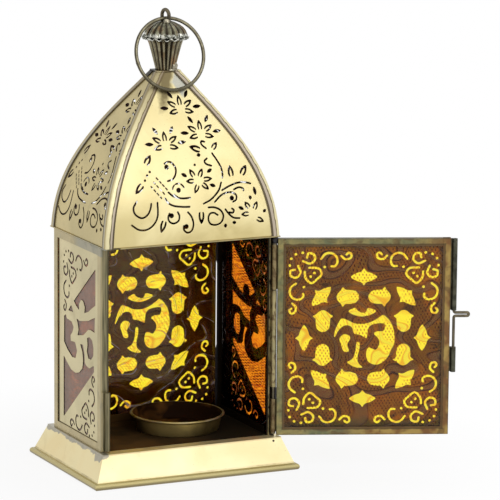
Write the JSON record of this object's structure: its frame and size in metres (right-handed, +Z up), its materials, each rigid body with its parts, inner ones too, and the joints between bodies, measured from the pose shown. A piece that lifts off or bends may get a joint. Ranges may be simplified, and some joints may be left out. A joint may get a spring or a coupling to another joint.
{
  "type": "decorative lantern",
  "caption": "Sheet-brass tea light lantern with a splayed foot, pierced and glazed walls, a hinged front door with a slide bolt, a curved hip roof, a fluted finial and a loose carrying ring.",
  "frame": {"origin": "on the standing surface, under the middle of the foot", "axes": "+Z up, -Y towards the door opening, +X towards the hinge"},
  "size_m": [0.1995, 0.1155, 0.2384],
  "materials": {
    "sheet_brass": "worn satin",
    "frame_brass": "tarnished satin",
    "brass_wire": "satin",
    "amber_glass": "embossed transparent"
  },
  "bodies": {
    "lantern": {"foot_skirt": "sheet_brass", "floor_plate": "sheet_brass", "post_front_left": "frame_brass", "post_front_right": "frame_brass", "post_rear_left": "frame_brass", "post_rear_right": "frame_brass", "rail_left_bottom": "frame_brass", "rail_left_top": "frame_brass", "rail_right_bottom": "frame_brass", "rail_right_top": "frame_brass", "rail_back_bottom": "frame_brass", "rail_back_top": "frame_brass", "panel_left": "sheet_brass", "panel_right": "sheet_brass", "panel_back": "sheet_brass", "glass_left": "amber_glass", "glass_right": "amber_glass", "glass_back": "amber_glass", "eave_frame": "frame_brass", "roof_front": "sheet_brass", "roof_back": "sheet_brass", "roof_left": "sheet_brass", "roof_right": "sheet_brass", "hip_front_left": "frame_brass", "hip_front_right": "frame_brass", "hip_rear_left": "frame_brass", "hip_rear_right": "frame_brass", "roof_crown": "sheet_brass", "finial_cup": "sheet_brass", "finial_cap": "sheet_brass", "hanging_loop": "brass_wire", "keeper_tube": "frame_brass", "hinge_knuckle": "frame_brass", "hinge_pin": "brass_wire"},
    "door": {"door_rail_top": "frame_brass", "door_rail_bottom": "frame_brass", "door_stile_hinge": "frame_brass", "door_stile_latch": "frame_brass", "door_panel": "sheet_brass", "door_glass": "amber_glass", "door_knuckle_lower": "frame_brass", "door_knuckle_upper": "frame_brass", "latch_tube_lower": "frame_brass", "latch_tube_upper": "frame_brass"},
    "slide_bolt": {"slide_bolt": "brass_wire"},
    "carrying_ring": {"carrying_ring": "brass_wire"},
    "candle_dish": {"candle_dish": "sheet_brass"}
  },
  "joints": [
    {"name": "door_hinge", "type": "hinge", "parent": "lantern", "child": "door", "pos_m": [0.04745, -0.03275, 0.0165], "axis": [0, 0, 1], "range_deg": [-158.2, 18]},
    {"name": "bolt_slide", "type": "slide", "parent": "door", "child": "slide_bolt", "axis": [0, 0, -1], "range_m": [0, 0.013]},
    {"name": "ring_swing", "type": "hinge", "parent": "lantern", "child": "carrying_ring", "pos_m": [0, 0, 0.2331], "axis": [-1, 0, 0], "range_deg": [0, 323]},
    {"name": "dish_lift", "type": "slide", "parent": "lantern", "child": "candle_dish", "axis": [0, 0, 1], "range_m": [0, 0.05]}
  ]
}
